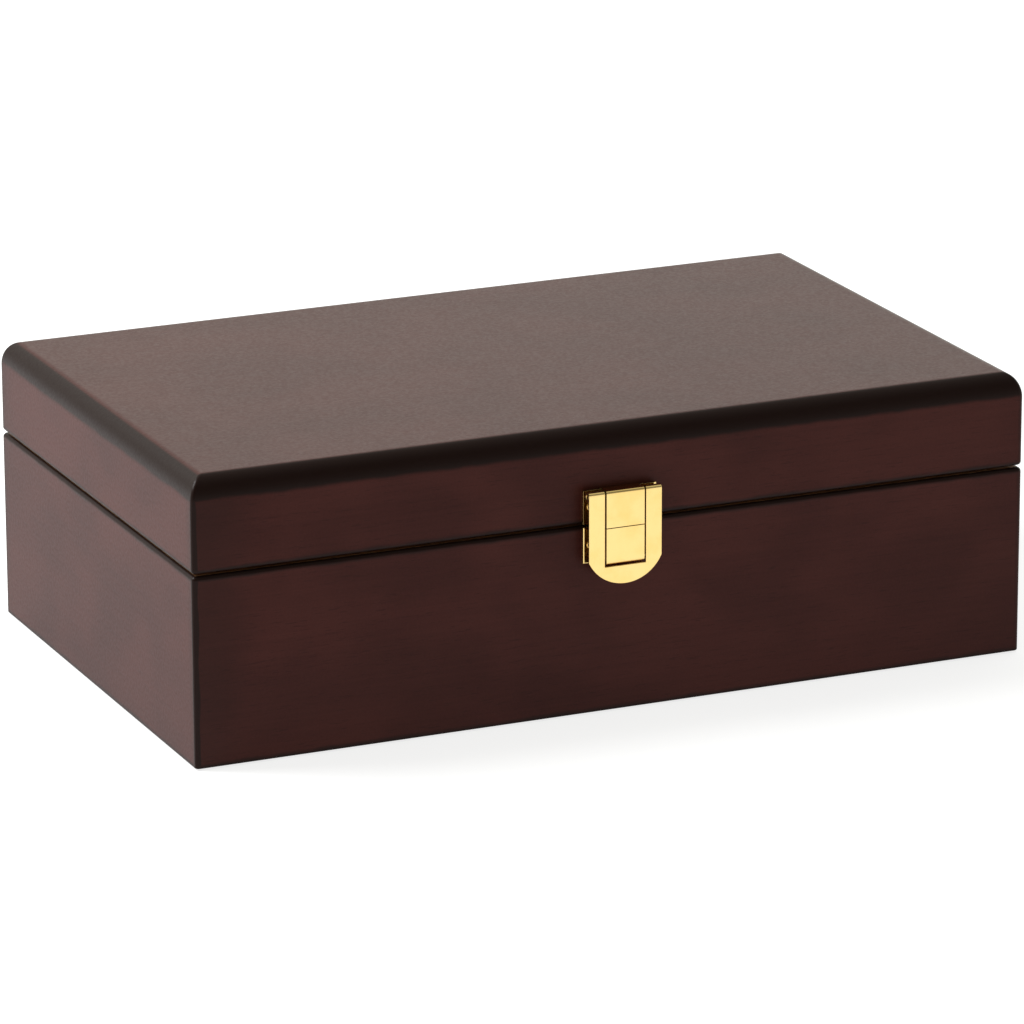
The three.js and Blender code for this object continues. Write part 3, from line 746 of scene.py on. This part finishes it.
def latch_screws():
    """The four screws behind the flap's arms, with level slots in heads that face the front."""
    for body in ("box", "lid"):
        for side in ("left", "right"):
            node = f"latch_{body}_screw_{side}"
            low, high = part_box(node)
            middle = (low + high) / 2
            slotted_screw(
                node,
                Vector((low.x - OVERCUT, low.y - OVERCUT, middle.z - DRIVER_SLOT_HALF)),
                Vector((high.x + OVERCUT, low.y + LATCH_DRIVER_SLOT_DEEP, middle.z + DRIVER_SLOT_HALF)),
            )


def hinge_screw(node, facing):
    """facing is 1 where the head looks up and -1 where it looks down."""
    low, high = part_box(node)
    middle = (low + high) / 2
    head = high.z if facing > 0 else low.z
    z0, z1 = sorted((head - facing * HINGE_DRIVER_SLOT_DEEP, head + facing * OVERCUT))
    slotted_screw(
        node,
        Vector((middle.x - DRIVER_SLOT_HALF, low.y - OVERCUT, z0)),
        Vector((middle.x + DRIVER_SLOT_HALF, high.y + OVERCUT, z1)),
    )


def hinges():
    """Two hinges, each of two leaves and a pin, with two screws in each leaf."""
    for side in ("left", "right"):
        for node in (f"hinge_{side}_box_leaf", f"hinge_{side}_lid_leaf", f"hinge_{side}_pin"):
            smoothed(settle(softened(node, "brass", HINGE_BEVEL), node, "brass", BRASS))
        for number in (1, 2):
            hinge_screw(f"hinge_{side}_box_screw_{number}", 1)
            hinge_screw(f"hinge_{side}_lid_screw_{number}", -1)


def wrapped_boards():
    """The lining boards and dividers, with cloth drawn round their edges."""
    linings = [f"{part}_{side}" for part in ("lining", "lid_lining") for side in SIDES]
    dividers = ["long_divider"] + [f"cross_divider_{i}" for i in range(1, 5)]
    for nodes, bevel in ((linings, LINING_BEVEL), (dividers, DIVIDER_BEVEL)):
        for node in nodes:
            smoothed(settle(softened(node, "cloth", bevel), node, "velour", VELOUR), BOARD_SHARP)


# ---------------------------------------------------------------- pads


def crown(u, v):
    """From 0 at the edge of a pad to 1 over most of its middle. u and v run from -1 to 1."""
    along, across = (max(0, 1 - abs(t) ** PAD_CROWN_POWER) for t in (u, v))
    return (along * across) ** 0.5


def crowned_pad(node, suffix, flat_down, edge):
    """A pad with one flat side and one crowned one. edge is its thickness there, as a share of the full."""
    low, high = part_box(node)
    middle, half = (low + high) / 2, (high - low) / 2
    flat_z, full_z = (low.z, high.z) if flat_down else (high.z, low.z)
    bm = bmesh.new()
    layers = {"flat": [], "full": []}
    for i in range(PAD_COLUMNS + 1):
        for j in range(PAD_ROWS + 1):
            u = math.sin(math.pi / 2 * (2 * i / PAD_COLUMNS - 1))
            v = math.sin(math.pi / 2 * (2 * j / PAD_ROWS - 1))
            x, y = middle.x + u * half.x, middle.y + v * half.y
            rise = edge + (1 - edge) * crown(u, v)
            rise -= PAD_DIMPLES * (1 + noise.noise(Vector((x, y, 0)) * PAD_DIMPLES_PER_METRE))
            layers["flat"].append(bm.verts.new((x, y, flat_z)))
            layers["full"].append(bm.verts.new((x, y, flat_z + (full_z - flat_z) * rise)))
    close_pad(bm, layers)
    return new_piece(f"{node}_{suffix}", bm)


def close_pad(bm, layers):
    """Faces over both layers of a pad and round its edge."""
    step = PAD_ROWS + 1
    for points in layers.values():
        for i in range(PAD_COLUMNS):
            for j in range(PAD_ROWS):
                a = i * step + j
                bm.faces.new((points[a], points[a + 1], points[a + step + 1], points[a + step]))
    rim = [(i, 0) for i in range(PAD_COLUMNS)] + [(PAD_COLUMNS, j) for j in range(PAD_ROWS)]
    rim += [(i, PAD_ROWS) for i in range(PAD_COLUMNS, 0, -1)] + [(0, j) for j in range(PAD_ROWS, 0, -1)]
    places = [i * step + j for i, j in rim]
    for a, b in zip(places, places[1:] + places[:1]):
        bm.faces.new((layers["flat"][a], layers["flat"][b], layers["full"][b], layers["full"][a]))
    tidy(bm)


def pads():
    """The lid's pad, the floor pad and the foam under it."""
    # Suffix, whether the flat side is down, share of the thickness at the edge, slot, material, fill
    soft = {
        "lid_pad": ("cloth", False, 0.45, "velour", VELOUR, 0.6),
        "floor_pad": ("cloth", True, 0.6, "velour", VELOUR, 0.6),
        "foam_underlay": ("cells", True, 0.9, "foam", FOAM, 0.8),
    }
    for node, (suffix, flat_down, edge, slot, material, fill) in soft.items():
        pad = crowned_pad(node, suffix, flat_down, edge)
        smoothed(settle(pad, node, slot, material), PAD_SHARP)


def felt_sheet():
    """The felt under the case, cut to its full size and glued flat."""
    sheet = softened("base_felt", "cloth", FELT_BEVEL)
    smoothed(settle(sheet, "base_felt", "base_felt", FELT))


# ---------------------------------------------------------------- pillows


def filled(piece):
    """Where the piece's vertices are after air pressure has filled it, each moved only a limited way."""
    start = [v.co.copy() for v in piece.data.vertices]
    cloth = piece.modifiers.new("Cloth", "CLOTH")
    cloth.settings.use_pressure = True
    cloth.settings.uniform_pressure_force = PILLOW_PRESSURE
    cloth.settings.effector_weights.gravity = 0
    cloth.point_cache.frame_start = 1
    cloth.point_cache.frame_end = FILL_FRAMES
    for number in range(1, FILL_FRAMES + 1):
        scene.frame_set(number)
    shown = piece.evaluated_get(bpy.context.evaluated_depsgraph_get())
    ends = [v.co.copy() for v in shown.data.vertices]
    piece.modifiers.clear()
    scene.frame_set(1)
    moved = []
    for before, after in zip(start, ends):
        way = after - before
        moved.append(before + way * min(1, PILLOW_SWELL / max(way.length, 1e-9)))
    return moved


def pillow_form(half):
    """The filled pillow round the origin, as an object that the ten pillows are copied from."""
    bm = bmesh.new()
    start = half - Vector((PILLOW_SLACK,) * 3)
    bmesh.ops.create_cube(bm, size=2, matrix=Matrix.Diagonal((*start, 1)))
    round_off(bm, bm.edges[:], PILLOW_ROUND, PILLOW_ROUND_STEPS)
    form = new_piece("pillow_form", bm)
    remesh = form.modifiers.new("Remesh", "REMESH")
    remesh.mode = "VOXEL"
    remesh.voxel_size = PILLOW_VOXEL
    baked(form)
    for vertex, place in zip(form.data.vertices, filled(form)):
        vertex.co = place
    finer = form.modifiers.new("Finer", "SUBSURF")
    finer.levels = finer.render_levels = 1
    return baked(form)


def shaped_pillow(form, seed, half):
    """One pillow's own vertices: drawn in at its seams, puckered beside them and fitted to its block."""
    shift = NEXT_PILLOW * seed
    places = []
    for vertex in form.data.vertices:
        place = vertex.co.copy()
        away = abs(abs(place.x) - SEAM_AT)
        pull = SEAM_DEPTH * math.exp(-((away / SEAM_WIDTH) ** 2))
        pucker = PUCKER * math.exp(-away / PUCKER_REACH) * noise.noise(place * PUCKERS_PER_METRE + shift)
        uneven = UNEVEN * noise.noise(place * UNEVEN_PER_METRE + shift)
        places.append(place + vertex.normal * (pucker + uneven - pull))
    return fitted(places, half * PILLOW_FIT)


def fitted(places, half):
    """The points scaled to fill the block, with the underside pressed flat where the pillow rests."""
    reach = [max(abs(p[axis]) for p in places) for axis in range(3)]
    room = Vector((half.x, half.y, half.z + PILLOW_SETTLED / 2))
    scaled = [Vector(c * r / m for c, r, m in zip(p, room, reach)) for p in places]
    lowered = [p + Vector((0, 0, -PILLOW_SETTLED / 2)) for p in scaled]
    return [Vector((p.x, p.y, max(p.z, -half.z))) for p in lowered]


def piping_points(places, faces, at):
    """The closed line where the pillow's surface crosses the plane of a seam."""
    tree = BVHTree.FromPolygons(places, faces)
    points = []
    for i in range(PIPING_POINTS):
        angle = 2 * math.pi * i / PIPING_POINTS
        outward = Vector((0, math.cos(angle), math.sin(angle)))
        hit = tree.ray_cast(Vector((at, 0, 0)) + outward * OUTSIDE_PILLOW, -outward)[0]
        points.append(hit + outward * PIPING_PROUD_MM * MM)
    neighbours = zip(points[-1:] + points[:-1], points, points[1:] + points[:1])
    return [(before + point * 2 + after) / 4 for before, point, after in neighbours]


def add_piping(bm, points):
    """A closed tube round the points, which lie in one plane across X."""
    rings = []
    for point in points:
        outward = Vector((0, point.y, point.z)).normalized()
        ring = []
        for i in range(PIPING_SIDES):
            angle = 2 * math.pi * i / PIPING_SIDES
            offset = outward * math.cos(angle) * PIPING + Vector((math.sin(angle) * PIPING, 0, 0))
            ring.append(bm.verts.new(point + offset))
        rings.append(ring)
    bridge(bm, rings + rings[:1])


def pillows():
    """Ten filled pillows with piped seams near their ends."""
    low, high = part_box("pillow_front_1")
    half = (high - low) / 2
    form = pillow_form(half)
    faces = [tuple(face.vertices) for face in form.data.polygons]
    for seed, node in enumerate(sorted(n for n in NODES if n.startswith("pillow_"))):
        low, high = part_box(node)
        bm = bmesh.new()
        bm.from_mesh(form.data)
        places = shaped_pillow(form, seed, half)
        for vertex, place in zip(bm.verts, places):
            vertex.co = place
        for at in (-SEAM_AT, SEAM_AT):
            add_piping(bm, piping_points(places, faces, at))
        bmesh.ops.recalc_face_normals(bm, faces=bm.faces)
        bmesh.ops.translate(bm, vec=(low + high) / 2, verts=bm.verts)
        pillow = new_piece(node + "_cushion", bm)
        smoothed(settle(pillow, node, "suede", SUEDE), PILLOW_SHARP)
    bpy.data.objects.remove(form)


# ---------------------------------------------------------------- studio

CAMERA_AT = Vector((-0.91472, -2.08853, 0.74657))
CAMERA_AZIMUTH = -23.695
CAMERA_ELEVATION = 17.078
CAMERA_ROLL = -0.179
CAMERA_LENS = 229.75
CAMERA_SENSOR = 36
CAMERA_FAR = 50

FLOOR_REACH = 9  # each way from the middle, in metres
FLOOR_DROP = 0.05 * MM  # keeps the floor clear of the felt
FLOOR_GREY = rgb(0.40, 0.40, 0.40)
FLOOR_GLOW = 0.78

# The sky's strength along each axis: the two places between which it changes, then its strength at each
# of them
SKY_COLOUR = rgb(0.985, 1.0, 0.925)
SKY_UPWARDS = (0.31, 0.52, 1.56, 0.62)
SKY_FORWARDS = (-0.15, -0.8, 1.0, 0.20)
SKY_LEFTWARDS = (0.15, -0.4, 1.0, 0.5)

KEY_AT = Vector((-0.9, 0.5, 1.05))
KEY_SIZE = 0.8
KEY_ENERGY = 27


def camera():
    """A long lens, turned to look from the front left and above."""
    azimuth, elevation, roll = (math.radians(a) for a in (CAMERA_AZIMUTH, CAMERA_ELEVATION, CAMERA_ROLL))
    level = math.cos(elevation)
    back = Vector((math.sin(azimuth) * level, -math.cos(azimuth) * level, math.sin(elevation)))
    right = Vector((math.cos(azimuth), math.sin(azimuth), 0))
    up = back.cross(right)
    turned_right = right * math.cos(roll) + up * math.sin(roll)
    turned_up = up * math.cos(roll) - right * math.sin(roll)
    rotation = Matrix((turned_right, turned_up, back)).transposed().to_4x4()
    data = bpy.data.cameras.new("camera")
    data.lens = CAMERA_LENS
    data.sensor_width = CAMERA_SENSOR
    data.clip_end = CAMERA_FAR
    eye = bpy.data.objects.new("camera", data)
    eye.matrix_world = Matrix.Translation(CAMERA_AT) @ rotation
    scene.collection.objects.link(eye)
    scene.camera = eye


def floor():
    """A plain white sweep that stays white, with a faint shadow where the box touches it."""
    bm = bmesh.new()
    bmesh.ops.create_grid(bm, x_segments=8, y_segments=8, size=FLOOR_REACH)
    bmesh.ops.translate(bm, vec=(0, 0, -FLOOR_DROP), verts=bm.verts)
    ground = new_piece("studio_floor", bm)
    g = Finish("studio_floor")
    g.surface(Base_Color=FLOOR_GREY, Roughness=0.9, Specular_IOR_Level=0.0)
    white = g.surface(Emission_Color=rgb(1, 1, 1), Emission_Strength=FLOOR_GLOW)
    ground.data.materials.append(white)


def studio_world():
    """Soft light, bright near the horizon behind the box and dimmer above, at the left and in front."""
    world = bpy.data.worlds.new("studio")
    scene.world = world
    world.use_nodes = True
    background = world.node_tree.nodes["Background"].inputs
    g = Graph(world.node_tree, "Generated")
    x, y, z = g.axes()
    strength = g.times(g.fade(z, *SKY_UPWARDS), g.fade(y, *SKY_FORWARDS))
    g.feed(background["Color"], SKY_COLOUR)
    g.feed(background["Strength"], g.times(strength, g.fade(x, *SKY_LEFTWARDS)))


def key_light():
    """A round lamp on the left, behind and above the box, turned towards the middle of the box's foot."""
    data = bpy.data.lights.new("key", "AREA")
    data.shape = "DISK"
    data.size = KEY_SIZE
    data.energy = KEY_ENERGY
    lamp = bpy.data.objects.new("key", data)
    lamp.location = KEY_AT
    lamp.rotation_mode = "QUATERNION"
    lamp.rotation_quaternion = (-KEY_AT).to_track_quat("-Z", "Y")
    scene.collection.objects.link(lamp)


# ---------------------------------------------------------------- the box

scene.view_settings.view_transform = "Standard"

camera()
floor()
studio_world()
key_light()

case_walls()
lid_rails()
lid_top()
latch()
latch_screws()
hinges()
wrapped_boards()
pads()
felt_sheet()
pillows()

for slot in NODES["bottom_panel"].material_slots:
    slot.material = BARE[LONG]
